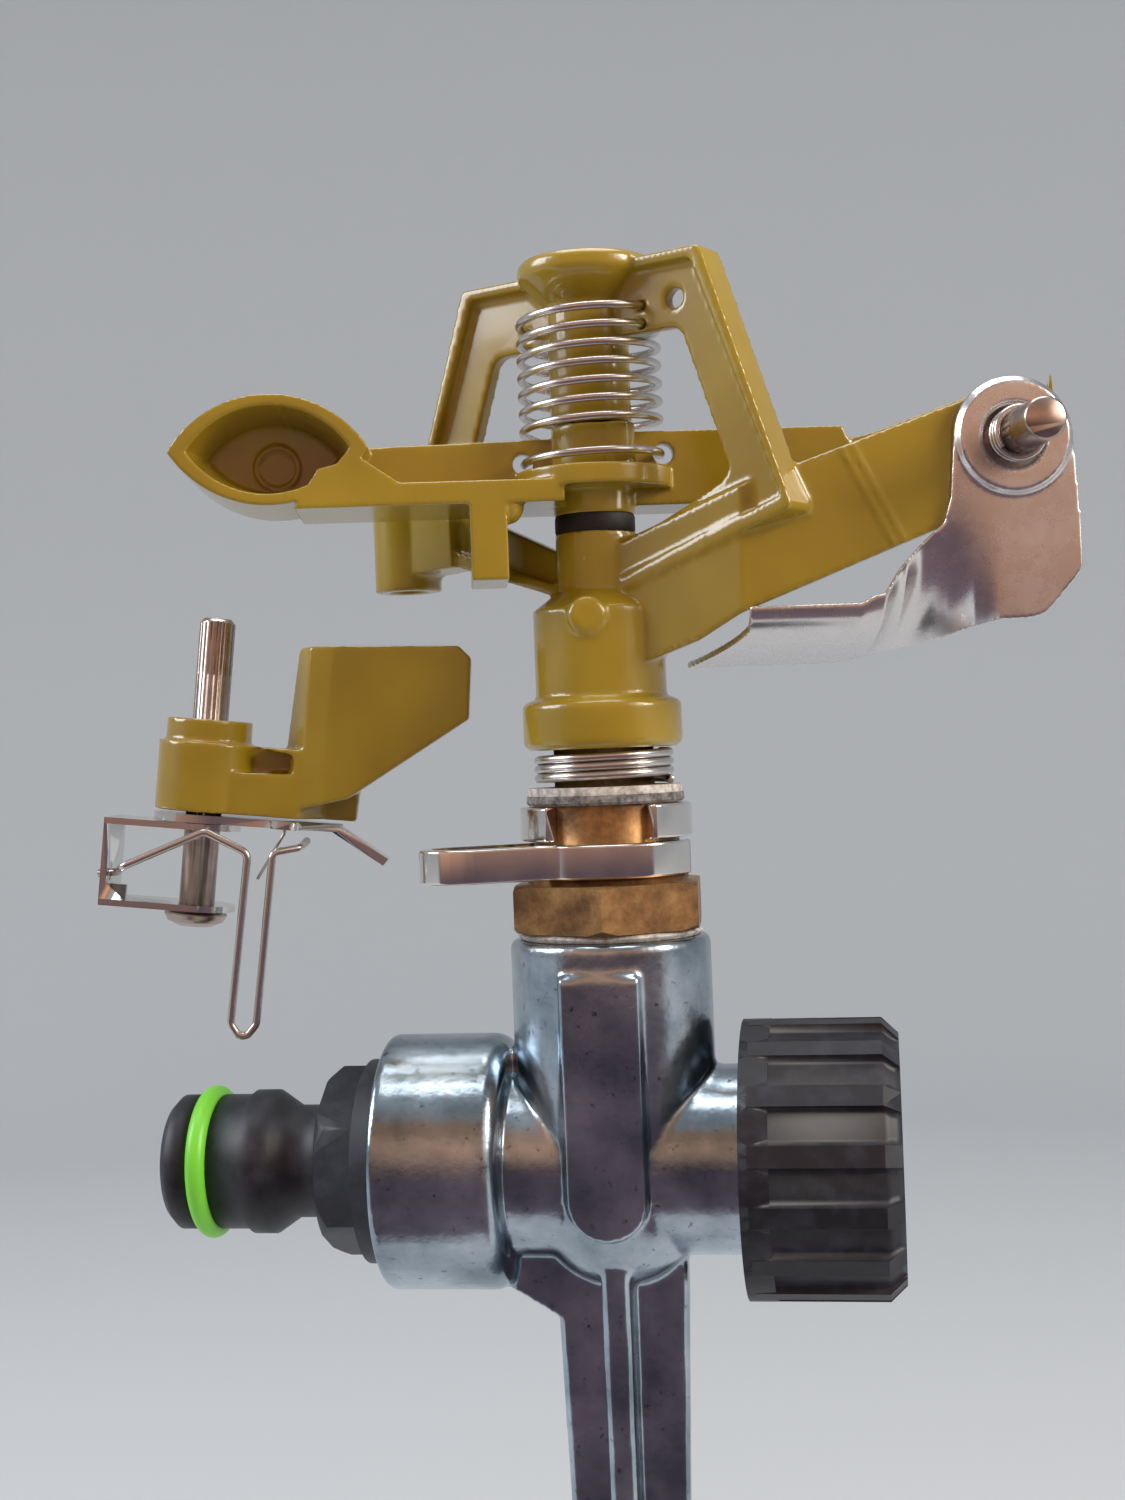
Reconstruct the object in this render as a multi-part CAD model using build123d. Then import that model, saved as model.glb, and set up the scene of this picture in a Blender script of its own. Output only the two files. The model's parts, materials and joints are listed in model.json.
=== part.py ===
"""Spike impact sprinkler, millimetres, +Z up.

The origin is on the riser axis at ground level, where the spike leaves the socket casting.
The hose inlet points along -X, the capped outlet along +X, and the bare plaque faces -Y.
"""
import math
import os

from build123d import *

# Gaps between pieces: fixed in one another, turning on one another, face over face
fit_gap = 0.02
run_gap = 0.05
face_gap = 0.05

# Ground spike, a tapering cross cast under the socket
spike_length = 168.0
spike_half_top = 8.1
spike_half_low = 3.4
spike_web = 3.4
spike_point = 14.0
spike_bevel = 0.7

# Socket casting: upright riser socket crossed by the water way
socket_r = 12.2
socket_top = 42.2
cross_z = 14.9
waterway_r = 7.5
port_r = 15.5
port_mouth = 28.0
port_root = 12.6
port_round = 2.5
neck_r = 11.35
inlet_thread_r = 13.2
inlet_thread_depth = 13.0
outlet_thread_r = 13.15
outlet_thread_start = 18.2
outlet_thread_end = 30.4
outlet_pitch = 1.814
riser_thread_r = 10.45
riser_thread_depth = 13.0
plaque_width = 9.5
plaque_low = 7.5
plaque_high = 38.4
plaque_face = 12.55
gusset_web = 3.4

# Hose connector, a moulded quick-coupling nipple with a male thread
tip_x = -55.9
tip_r = 8.3
tip_bevel = 1.0
groove_r = 6.95
groove_from = -52.4
groove_to = -49.8
ridge_r = 8.85
ridge_from = -45.5
ridge_to = -40.6
waist_r = 6.9
waist_to = -36.4
hex_flats = 20.4
hex_to = -30.4
flange_r = 12.45
connector_bore_r = 5.0
thread_root = 0.7

# Seals of the water way
o_ring_section = 2.5
washer_thick = 2.2
inlet_washer_hole = 8.4

# Outlet cap, moulded, with gripping ribs
cap_r = 16.7
cap_from = 15.7
cap_to = 34.2
cap_ring = 3.4
cap_wall = 2.4
cap_rib_count = 15
cap_rib_height = 0.9
cap_rib_width = 2.5
cap_bevel = 2.0

# Brass bearing: hexagon, threaded stem and plain barrel, with a tube turning inside it
nut_flats = 22.0
nut_turn = 33.5
nut_low = 43.2
nut_high = 48.85
sealant_r = 11.3
shoulder_r = 9.8
shoulder_high = 49.6
barrel_r = 8.85
barrel_top = 58.35
barrel_bore_r = 6.15
tube_bore_r = 4.4
tube_foot_r = 8.3
tube_foot = 2.0
foot_seal = 1.6
tube_top = 78.0
thrust_ring_r = 9.65
thrust_ring_thick = 1.15
slip_washer_r = 9.35
slip_washer_thick = 0.95

# Friction collars, bent from flat spring wire
collar_thick = 1.55
collar_height = 4.1
lower_collar_z = 49.65
upper_collar_z = 54.12
lobe_reach = 23.6
lobe_half = 5.1
collar_gap_deg = 74.0
lower_collar_turn = 208.5
upper_collar_turn = 93.0

# Compression spring that lifts the head
lift_wire = 1.05
lift_coil_r = 8.0
lift_turns = 3.1

# Head casting, in its own frame with the nozzle barrel along +X
head_turn = 12.0
skirt_r = 9.7
skirt_low = 65.0
skirt_high = 71.0
drum_r = 8.0
drum_top = 81.9
post_r = 4.9
post_root = 84.2
post_top = 91.2
stop_bump_r = 2.4
stop_bump_z = 80.8

# Bridge over the hammer, a flanged frame set at an angle to the nozzle
bridge_turn = -38.0
bridge_depth = 4.9
bridge_web = 2.0
bridge_flange = 1.35
bridge_top = 123.2
bridge_top_half = 17.4
bridge_foot_half = 28.4
bridge_foot_z = 91.4
bridge_root_z = 83.4
window_top = 114.4
window_top_half = 13.6
window_foot_half = 19.9
window_foot_z = 96.2
window_root_z = 89.2
hub_r = 8.4
hub_top = 124.3
hub_rim = 2.1
stem_r = 4.95
stem_low = 104.4
hub_cone_low = 118.8
spring_hook_r = 13.0
spring_hook_z = 117.8

# Boss for the trip lever's pin, on the foot of the left leg
trip_boss_reach = 29.6
trip_boss_r = 4.3
trip_boss_low = 86.2
trip_boss_high = 96.4
trip_bore_r = 2.35
trip_bore_depth = 8.0

# Nozzle arm: it leaves along the bridge, bends, and rises beside the hammer
arm_near_y = -14.9
arm_far_y = -4.7
arm_bend_x = 15.7
arm_rise = 20.1
arm_end_x = 50.4
arm_end_z = 100.1
arm_end_height = 12.4
arm_root_height = 14.6
jet_y = -8.4
jet_bore_r = 2.4
tip_bush_r = 2.9
tip_bush_length = 6.0
orifice_r = 1.9
pin_x = 47.5
pin_z = 99.2

# Hammer and its pivot
shaft_r = 2.5
shaft_low = 84.0
pivot_seal_thick = 2.1
hammer_tube_r = 4.95
hammer_low = 93.35
hammer_high = 104.1
hammer_disc_r = 9.5
hammer_disc_low = 96.3
hammer_disc_high = 98.7
cup_tip_x = -50.4
cup_apex_x = -26.9
cup_mid_z = 101.45
cup_half_height = 6.55
cup_front_y = -8.2
cup_depth = 16.4
cup_wall = 1.35
cup_hollow = 9.0
beam_low = 94.4
beam_high = 97.1
beam_web_high = 102.9
beam_web = 2.1
plate_low = 94.4
plate_high = 103.4
plate_end_x = 30.6
lug_from_x = -15.3
lug_to_x = -10.9
lug_low = 85.3
vane_out_x = 55.3
vane_thick = 1.8
hammer_hole_r = 1.25
hammer_hole_left_z = 99.8
hammer_hole_right_z = 100.6

# Torsion spring that brings the hammer back
arm_wire = 1.0
arm_coil_r = 8.35
arm_coil_low = 104.3
arm_coil_turns = 6.222

# Deflector flap, pressed from sheet, on its pin at the nozzle's end
sheet = 0.8
flap_back_y = -15.4
eye_r = 7.0
eye_ring_out = 6.3
eye_ring_in = 4.5
eye_raise = 0.8
flap_right_x = 55.1
flap_low = 78.2
flap_plate_from = 8.8
flap_plate_z = 80.6
flap_plate_drop = 5.8
flap_plate_depth = 17.0
flap_pin_r = 2.4
flap_pin_end_y = -29.0
flap_pin_groove_r = 2.15
flap_coil_r = 2.85
flap_coil_wire = 0.75

# Trip unit, lying beside the sprinkler where it was taken off; its own frame hangs from the pin's end
unit_left = -48.4
unit_back = 12.0
unit_high = 83.4
unit_lean = 6.5
view_turn = 9.0
trip_pin_r = 2.25
trip_pin_length = 39.4
trip_knurl_length = 6.6
trip_head_r = 4.0
trip_head_thick = 1.9
lever_hub_r = 5.4
lever_hub_top = -12.9
lever_hub_low = -24.6
paddle_front_y = -5.4
paddle_thick = 2.6
plate_gap_z = 0.35
trip_plate_thick = 1.0
bracket_sheet = 0.8
bracket_left = -11.6
bracket_low = -37.2
trip_wire_d = 1.0
hair_wire_d = 0.4
hair_hole_x = 11.3
hair_hole_y = -5.7


def polygon(*points):
    return make_face(Polyline(*points, close=True))


def turned(*points):
    """Solid of revolution about Z from (radius, z) points."""
    return revolve(Plane.XZ * polygon(*points), Axis.Z)


def turned_x(*points):
    """Solid of revolution about X from (x, radius) points."""
    return revolve(polygon(*points), Axis.X)


def tube_between(low, high, outer, inner=0.0):
    return turned((inner, low), (outer, low), (outer, high), (inner, high))


def plate_y(face, y_from, y_to):
    """A face drawn in X and Z, made a plate from y_from to y_to."""
    return Pos(0, y_to, 0) * extrude(Plane.XZ * face, amount=y_to - y_from)


def plate_z(face, z_from, z_to):
    return Pos(0, 0, z_from) * extrude(face, amount=z_to - z_from)


def rod(start, end, radius):
    axis = Vector(*end) - Vector(*start)
    return extrude(Plane(origin=start, z_dir=axis) * Circle(radius), amount=axis.length)


def swept_wire(path, radius):
    section = Plane(origin=path @ 0, z_dir=path % 0) * Circle(radius)
    return sweep(section, path=path)


def coil(pitch, turns, radius, wire):
    path = Helix(pitch=pitch, height=pitch * turns, radius=radius)
    section = Plane(origin=path @ 0, z_dir=path % 0) * Circle(wire / 2)
    return sweep(section, path=path, is_frenet=True)


def spike_section(half_width, half_web, z):
    bevel = min(spike_bevel, 0.6 * half_web)
    corners = [(half_width, half_web - bevel), (half_width - bevel, half_web)]
    corners += [(-x, y) for x, y in reversed(corners)]
    corners += [(-x, -y) for x, y in corners]
    return Pos(0, 0, z) * polygon(*corners)


def spike_blade():
    """One of the two crossed blades, from inside the dome down to the point."""
    root_z = 0.55 * cross_z
    point_z = spike_point - spike_length
    half_web = spike_web / 2
    sections = [
        spike_section(spike_half_top, half_web, root_z),
        spike_section(spike_half_top, half_web, 0),
        spike_section(spike_half_low, 0.85 * half_web, point_z),
        spike_section(0.25 * half_web, 0.2 * half_web, -spike_length),
    ]
    return loft(sections, ruled=True)


def socket_casting():
    dome = Spline(
        (0, 0), (0.71 * socket_r, 0.29 * cross_z), (socket_r, cross_z), tangents=[(1, 0), (0, 1)]
    )
    wall = Polyline((socket_r, cross_z), (socket_r, socket_top), (0, socket_top), (0, 0))
    body = revolve(Plane.XZ * make_face(dome + wall), Axis.Z)
    body = fillet(body.edges().group_by(Axis.Z)[-1], 0.9)

    port = turned_x((-port_mouth, 0), (-port_mouth, port_r), (-port_root, port_r), (-port_root, 0))
    port = chamfer(port.edges().group_by(Axis.X)[0], 0.5)
    port = fillet(port.edges().group_by(Axis.X)[-1], port_round)
    necks = turned_x(
        (-port_root - 1, 0),
        (-port_root - 1, neck_r),
        (outlet_thread_start, neck_r),
        (outlet_thread_start, 0),
    )
    spigot = turned_x(
        (outlet_thread_start, 0),
        (outlet_thread_start, outlet_thread_r),
        (outlet_thread_end, outlet_thread_r),
        (outlet_thread_end, 0),
    )
    cross = Pos(0, 0, cross_z) * (port + necks + spigot)

    plaque_r = plaque_width / 2
    plaque_shape = polygon(
        (-plaque_r, plaque_low + plaque_r),
        (plaque_r, plaque_low + plaque_r),
        (plaque_r, plaque_high),
        (-plaque_r, plaque_high),
    )
    plaque_shape += Pos(0, plaque_low + plaque_r) * Circle(plaque_r)
    plaque = plate_y(plaque_shape, -plaque_face, -0.6 * socket_r)

    gusset = plate_y(
        polygon(
            (-port_root - 1.5, 4),
            (-5, 5),
            (-5, -4),
            (-spike_half_top + 0.6, -4.2),
            (-port_root - 1.5, -0.2),
        ),
        -gusset_web / 2,
        gusset_web / 2,
    )
    body += cross + plaque + gusset
    body += spike_blade() + Rot(0, 0, 90) * spike_blade()

    riser_floor = socket_top - riser_thread_depth
    body -= tube_between(cross_z, riser_floor + 0.5, tube_foot_r + 0.4)
    body -= tube_between(riser_floor, socket_top + 1, riser_thread_r + fit_gap)
    bores = turned_x(
        (-port_mouth - 1, 0),
        (-port_mouth - 1, waterway_r),
        (outlet_thread_end + 1, waterway_r),
        (outlet_thread_end + 1, 0),
    )
    inlet_floor = -port_mouth + inlet_thread_depth
    bores += turned_x(
        (-port_mouth - 1, 0),
        (-port_mouth - 1, inlet_thread_r + fit_gap),
        (inlet_floor, inlet_thread_r + fit_gap),
        (inlet_floor, 0),
    )
    body -= Pos(0, 0, cross_z) * bores
    grooves = [outlet_thread_start + outlet_pitch * (step + 1) for step in range(6)]
    for groove_x in grooves:
        body -= Pos(0, 0, cross_z) * thread_groove(groove_x, outlet_thread_r, outlet_pitch)
    return body


def thread_groove(x, radius, pitch):
    """One V-shaped ring of a thread drawn as rings."""
    half = 0.4 * pitch
    outside = radius + 0.5
    return turned_x(
        (x - half, outside),
        (x - half, radius),
        (x, radius - thread_root),
        (x + half, radius),
        (x + half, outside),
    )


def hose_connector():
    profile = [
        (tip_x, connector_bore_r),
        (tip_x, tip_r - tip_bevel),
        (tip_x + tip_bevel, tip_r),
        (groove_from, tip_r),
        (groove_from, groove_r),
        (groove_to, groove_r),
        (groove_to, tip_r),
        (ridge_from - 0.6, tip_r),
        (ridge_from, ridge_r),
        (ridge_from + 2.6, ridge_r),
        (ridge_to + 0.6, waist_r),
        (waist_to, waist_r),
        (waist_to + 1.2, hex_flats / 2 - 0.8),
        (waist_to + 1.2, connector_bore_r),
    ]
    nipple = turned_x(*profile)
    hexagon = RegularPolygon(hex_flats / 2, 6, major_radius=False)
    nut = Pos(waist_to + 0.8, 0, 0) * Rot(0, 90, 0) * extrude(hexagon, amount=hex_to - waist_to)
    nut &= turned_x(
        (waist_to, 0),
        (waist_to, hex_flats / 2 - 0.3),
        (waist_to + 2.4, 0.58 * hex_flats),
        (hex_to + 1, 0.58 * hex_flats),
        (hex_to + 1, 0),
    )
    thread_end = -port_mouth + inlet_thread_depth - washer_thick - face_gap
    flange = turned_x(
        (hex_to - 0.2, 0),
        (hex_to - 0.2, flange_r),
        (-port_mouth + 1.2, flange_r),
        (-port_mouth + 1.2, 0),
    )
    thread = turned_x(
        (-port_mouth + 1.2, 0),
        (-port_mouth + 1.2, inlet_thread_r),
        (thread_end, inlet_thread_r),
        (thread_end, 0),
    )
    body = nipple + nut + flange + thread
    for step in range(4):
        body -= thread_groove(-port_mouth + 2.6 + outlet_pitch * step, inlet_thread_r, outlet_pitch)
    body -= turned_x(
        (tip_x - 1, 0),
        (tip_x - 1, connector_bore_r),
        (thread_end + 1, connector_bore_r),
        (thread_end + 1, 0),
    )
    return Pos(0, 0, cross_z) * body


def connector_o_ring():
    section_r = o_ring_section / 2
    ring = Plane.XY * Pos(0, groove_r + section_r) * Circle(section_r - fit_gap)
    return Pos((groove_from + groove_to) / 2, 0, cross_z) * revolve(ring, Axis.X)


def connector_washer():
    floor = -port_mouth + inlet_thread_depth
    return Pos(0, 0, cross_z) * turned_x(
        (floor - washer_thick, inlet_washer_hole),
        (floor - washer_thick, inlet_thread_r - 0.2),
        (floor, inlet_thread_r - 0.2),
        (floor, inlet_washer_hole),
    )


def end_cap():
    core_r = cap_r - cap_rib_height
    outside = turned_x(
        (cap_from, 0), (cap_from, cap_r), (cap_from + cap_ring, cap_r), (cap_from + cap_ring, core_r),
        (cap_to - cap_bevel, core_r), (cap_to, core_r - 0.8 * cap_bevel), (cap_to, 0)
    )
    rib = plate_z(
        polygon(
            (cap_from + 1, 0.8 * core_r),
            (cap_to, 0.8 * core_r),
            (cap_to, core_r - 0.5 * cap_bevel),
            (cap_to - cap_bevel, cap_r),
            (cap_from + 1, cap_r),
        ),
        -cap_rib_width / 2,
        cap_rib_width / 2,
    )
    ribs = [Rot(step * 360 / cap_rib_count, 0, 0) * rib for step in range(cap_rib_count)]
    bore_r = outlet_thread_r + run_gap
    cap = outside + ribs
    cap -= turned_x(
        (cap_from - 1, 0), (cap_from - 1, bore_r), (cap_to - cap_wall, bore_r), (cap_to - cap_wall, 0)
    )
    cap -= turned_x(
        (cap_from - 1, 0), (cap_from - 1, bore_r + 1.2), (cap_from + 1, bore_r), (cap_from + 1, 0)
    )
    return Pos(0, 0, cross_z) * cap


def cap_washer():
    seat = outlet_thread_end + face_gap
    wall = cap_to - cap_wall - face_gap
    return Pos(0, 0, cross_z) * turned_x(
        (seat, 4.0), (seat, outlet_thread_r - 0.5), (wall, outlet_thread_r - 0.5), (wall, 4.0)
    )


def bearing_sleeve():
    """Hexagon and stem in one; the bore carries the turning tube."""
    stem_low = socket_top - riser_thread_depth + 0.6
    stem = turned(
        (barrel_bore_r, stem_low),
        (riser_thread_r - 0.6, stem_low),
        (riser_thread_r, stem_low + 0.8),
        (riser_thread_r, socket_top),
        (nut_flats / 2 - 2.2, socket_top),
        (nut_flats / 2 - 2.2, nut_low + 0.5),
        (barrel_bore_r, nut_low + 0.5),
    )
    hexagon = RegularPolygon(nut_flats / 2, 6, major_radius=False, rotation=nut_turn)
    nut = plate_z(hexagon, nut_low, nut_high)
    corner_r = nut_flats / 2 / math.cos(math.radians(30))
    nut &= turned(
        (0, nut_low),
        (corner_r - 0.9, nut_low),
        (corner_r, nut_low + 0.6),
        (corner_r, nut_high - 0.6),
        (corner_r - 0.9, nut_high),
        (0, nut_high),
    )
    barrel = tube_between(nut_high - 1, shoulder_high, shoulder_r, barrel_bore_r)
    barrel += tube_between(shoulder_high - 1, barrel_top, barrel_r, barrel_bore_r)
    body = stem + nut + barrel
    return body - tube_between(nut_low - 2, nut_high + 2, barrel_bore_r)


def thread_sealant():
    """Ring of tape squeezed out between the socket and the hexagon."""
    inner = nut_flats / 2 - 2.2 + fit_gap
    middle = (socket_top + nut_low) / 2
    return turned(
        (inner, socket_top + fit_gap),
        (sealant_r - 0.5, socket_top + fit_gap),
        (sealant_r, middle),
        (sealant_r - 0.7, nut_low - fit_gap),
        (inner, nut_low - fit_gap),
    )


def tube_seat():
    """Height of the top of the turning tube's foot."""
    return socket_top - riser_thread_depth + 0.6 - foot_seal - face_gap


def bearing_tube():
    foot_top = tube_seat()
    outer = barrel_bore_r - run_gap
    return turned(
        (tube_bore_r, foot_top - tube_foot),
        (tube_foot_r, foot_top - tube_foot),
        (tube_foot_r, foot_top),
        (outer, foot_top),
        (outer, tube_top),
        (tube_bore_r, tube_top),
    )


def foot_washer():
    foot_top = tube_seat()
    inner = barrel_bore_r + fit_gap
    return tube_between(foot_top + fit_gap, foot_top + foot_seal, tube_foot_r - 0.2, inner)


def thrust_ring():
    inner = barrel_bore_r + 0.3
    return turned(
        (inner, barrel_top),
        (thrust_ring_r - 0.3, barrel_top),
        (thrust_ring_r, barrel_top + 0.3),
        (thrust_ring_r - 0.1, barrel_top + thrust_ring_thick),
        (inner, barrel_top + thrust_ring_thick),
    )


def slip_washer():
    low = barrel_top + thrust_ring_thick
    return tube_between(low, low + slip_washer_thick, slip_washer_r, barrel_bore_r + 0.3)


def collar(turn, low):
    """Open ring with a looped lobe, set with the lobe at the given direction."""
    inner_r = barrel_r + run_gap
    outer_r = inner_r + collar_thick
    lobe_mid = lobe_reach - lobe_half
    outer = Circle(outer_r) + Pos(lobe_mid / 2, 0) * Rectangle(
        lobe_mid, 2 * lobe_half
    ) + Pos(lobe_mid, 0) * Circle(lobe_half)
    lobe_in = lobe_half - collar_thick
    inner = Circle(inner_r) + Pos(lobe_mid / 2, 0) * Rectangle(
        lobe_mid, 2 * lobe_in
    ) + Pos(lobe_mid, 0) * Circle(lobe_in)
    outer = fillet(outer.vertices().filter_by(lambda v: outer_r * 0.5 < v.X < outer_r), 3.0)
    inner = fillet(
        inner.vertices().filter_by(lambda v: inner_r * 0.5 < v.X < inner_r), 3.0 + collar_thick
    )
    half_gap = math.radians(collar_gap_deg / 2)
    reach = 2 * outer_r
    mouth = polygon(
        (0, 0),
        (-reach * math.cos(half_gap), -reach * math.sin(half_gap)),
        (-reach * math.cos(half_gap), reach * math.sin(half_gap)),
    )
    band = plate_z(outer - inner - mouth, low, low + collar_height)
    band = fillet(band.edges().filter_by(GeomType.CIRCLE).group_by(SortBy.RADIUS)[-1], 0.35)
    return Rot(0, 0, turn) * band


def lift_spring():
    low = barrel_top + thrust_ring_thick + slip_washer_thick + face_gap + lift_wire / 2
    high = skirt_low - face_gap - lift_wire / 2
    return Pos(0, 0, low) * coil((high - low) / lift_turns, lift_turns, lift_coil_r, lift_wire)


def bridge_outline(margin=0.0):
    """Outer outline of the bridge frame in its own plane, drawn in by a margin."""
    return [
        (-bridge_top_half + margin, bridge_top - margin),
        (bridge_top_half - margin, bridge_top - margin),
        (bridge_foot_half - 1.1 * margin, bridge_foot_z + 1.2 * margin),
        (0, bridge_root_z - 1.2 + margin),
        (-bridge_foot_half + 1.1 * margin, bridge_foot_z + 1.2 * margin),
    ]


def window_side(sign):
    """One half of the opening that the hammer works in."""
    half = polygon(
        (0, window_root_z), (sign * post_r, window_root_z), (sign * window_foot_half, window_foot_z),
        (sign * window_top_half, window_top), (0, window_top)
    )
    corners = half.vertices().filter_by(lambda v: abs(v.X) > window_top_half - 0.5)
    return fillet(corners, 2.0)


def bridge():
    half_web = bridge_web / 2
    half_depth = bridge_depth / 2
    outer = polygon(*bridge_outline())
    outer = fillet(outer.vertices().filter_by(lambda v: abs(v.X) > 1), 0.8)
    inset = polygon(*bridge_outline(bridge_flange))
    web = plate_y(outer, -half_web, half_web)
    flange = plate_y(outer - inset, -half_depth, half_depth)
    frame = web + flange
    frame -= plate_y(window_side(1) + window_side(-1), -half_depth - 1, half_depth + 1)

    boss = Pos(-trip_boss_reach, 0, 0) * tube_between(trip_boss_low, trip_boss_high, trip_boss_r)
    block = plate_y(
        polygon(
            (-trip_boss_reach, 88.0),
            (-20, 88.6),
            (-20, trip_boss_high - 1.5),
            (-23, trip_boss_high),
            (-trip_boss_reach, trip_boss_high),
        ),
        -half_depth - 0.6,
        half_depth + 0.6,
    )
    frame += boss + block
    frame -= Pos(-trip_boss_reach, 0, 0) * tube_between(
        trip_boss_low - 1, trip_boss_low + trip_bore_depth, trip_bore_r
    )
    frame -= Pos(spring_hook_r, 0, spring_hook_z) * Rot(90, 0, 0) * Cylinder(1.2, 3 * bridge_web)
    return Rot(0, 0, bridge_turn) * frame


def hub_and_post():
    hub = turned(
        (0, stem_low),
        (stem_r, stem_low),
        (stem_r, hub_cone_low),
        (hub_r, hub_top - hub_rim),
        (hub_r, hub_top - 0.7),
        (hub_r - 0.7, hub_top),
        (0, hub_top),
    )
    lower = turned(
        (0, skirt_low),
        (skirt_r - 0.7, skirt_low),
        (skirt_r, skirt_low + 0.7),
        (skirt_r, skirt_high - 0.7),
        (skirt_r - 0.7, skirt_high),
        (drum_r, skirt_high),
        (drum_r, drum_top),
        (post_r, post_root),
        (post_r, post_top),
        (0, post_top),
    )
    return hub + lower


def arm_profile():
    """Side view of the nozzle arm, tapering along its rising centre line."""
    slope = math.radians(arm_rise)
    along = Vector(math.cos(slope), 0, math.sin(slope))
    across = Vector(-math.sin(slope), 0, math.cos(slope))
    end = Vector(arm_end_x, 0, arm_end_z)
    bend = end - along * ((arm_end_x - arm_bend_x) / math.cos(slope))
    top_end = end + across * (arm_end_height / 2)
    low_end = end - across * (arm_end_height / 2)
    top_bend = bend + Vector(0, 0, arm_root_height / 2)
    low_bend = bend - Vector(0, 0, arm_root_height / 2)
    return [
        (0, top_bend.Z - 6.0),
        (top_bend.X, top_bend.Z),
        (top_end.X, top_end.Z),
        (low_end.X, low_end.Z),
        (low_bend.X, low_bend.Z),
        (11.0, 77.2),
        (drum_r - 2, 75.4),
        (0, 75.4),
    ]


def nozzle_arm():
    side = math.radians(-bridge_turn)
    near_offset = 2.1
    root = (-near_offset * math.sin(side), -near_offset * math.cos(side))
    bend = (arm_bend_x, arm_near_y)
    plan = polygon(
        root,
        bend,
        (arm_end_x + 8, arm_near_y),
        (arm_end_x + 8, arm_far_y),
        (17.5, arm_far_y),
        (8, 0.8),
        (2, 4),
    )
    arm = plate_y(polygon(*arm_profile()), arm_near_y - 5, 10) & plate_z(plan, 60, 120)
    slope = math.radians(arm_rise)
    for step in (0, 1):
        line_x = 30.6 + 1.1 * step
        line_z = arm_end_z - (arm_end_x - line_x) * math.tan(slope)
        strip = Pos(line_x, arm_near_y, line_z) * Rot(0, -arm_rise - 7, 0) * Box(
            0.45, 0.4, arm_root_height + 6
        )
        arm += strip & plate_y(polygon(*arm_profile()), arm_near_y - 1, arm_near_y + 1)
    return arm


def water_path():
    """Bores of the head casting: the tube's socket, the way to the bend and the barrel."""
    slope = math.radians(arm_rise)
    bend_x = 16.5
    bend_z = arm_end_z - (arm_end_x - bend_x) * math.tan(slope)
    bend = (bend_x, jet_y, bend_z)
    far_end = (arm_end_x + 6, jet_y, arm_end_z + 6 * math.tan(slope))
    bush_from = (
        arm_end_x - tip_bush_length * math.cos(slope),
        jet_y,
        arm_end_z - tip_bush_length * math.sin(slope),
    )
    bores = tube_between(skirt_low - 1, tube_top + fit_gap, barrel_bore_r - run_gap + fit_gap)
    bores += rod((0, 0, tube_top - 0.5), bend, jet_bore_r)
    bores += Pos(*bend) * Sphere(jet_bore_r)
    bores += rod(bend, far_end, jet_bore_r)
    bores += rod(bush_from, far_end, tip_bush_r + fit_gap)
    return bores


def arm_coil_start():
    """Height where the close coils of the torsion spring begin, behind the hammer's left web."""
    pitch = (spring_hook_z - arm_coil_low) / arm_coil_turns
    return arm_coil_low - pitch / 3


def arm_coils(wire):
    """Close coils of the torsion spring, up to the height of its hook."""
    turns = arm_coil_turns + 1 / 3
    pitch = (spring_hook_z - arm_coil_start()) / turns
    return Pos(0, 0, arm_coil_start()) * Rot(0, 0, 150) * coil(pitch, turns, arm_coil_r, wire)


def sprinkler_body():
    body = hub_and_post() + bridge() + nozzle_arm()
    bump = Pos(-1.9, -drum_r + 1.0, stop_bump_z) * Rot(90, 0, 0) * Cylinder(stop_bump_r, 3.2)
    bump = fillet(bump.edges().group_by(Axis.Y)[0], 0.9)
    body += bump
    body -= water_path()
    body -= arm_coils(arm_wire + 0.3)
    body -= tube_between(shaft_low, hub_top - 1.6, shaft_r + fit_gap)
    body -= Pos(pin_x, arm_near_y + 3.2, pin_z) * Rot(90, 0, 0) * extrude(
        Circle(flap_pin_r - 0.35 + fit_gap), amount=5
    )
    return body


def nozzle_bush():
    low = fit_gap - tip_bush_length
    bush = turned(
        (orifice_r, low),
        (tip_bush_r, low),
        (tip_bush_r, -0.5),
        (tip_bush_r - 0.3, -0.2),
        (orifice_r + 0.3, -0.2),
        (orifice_r, -0.5),
    )
    return Pos(arm_end_x, jet_y, arm_end_z) * Rot(0, 90 - arm_rise, 0) * bush


def pivot_shaft():
    return tube_between(shaft_low, hub_top - 1.6 - fit_gap, shaft_r)


def pivot_seal():
    return turned(
        (shaft_r + fit_gap, post_top),
        (post_r - 0.1, post_top),
        (post_r, post_top + 0.3),
        (post_r, post_top + pivot_seal_thick - 0.3),
        (post_r - 0.1, post_top + pivot_seal_thick),
        (shaft_r + fit_gap, post_top + pivot_seal_thick),
    )


def lens(margin):
    """Leaf outline of the counterweight in X and Z, drawn in by a margin."""
    half_length = (cup_apex_x - cup_tip_x) / 2 - 1.6 * margin
    half_height = cup_half_height - margin
    arc_r = (half_length ** 2 + half_height ** 2) / (2 * half_height)
    mid_x = (cup_apex_x + cup_tip_x) / 2
    lower = Pos(mid_x, cup_mid_z + arc_r - half_height) * Circle(arc_r)
    upper = Pos(mid_x, cup_mid_z - arc_r + half_height) * Circle(arc_r)
    return lower & upper


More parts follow.
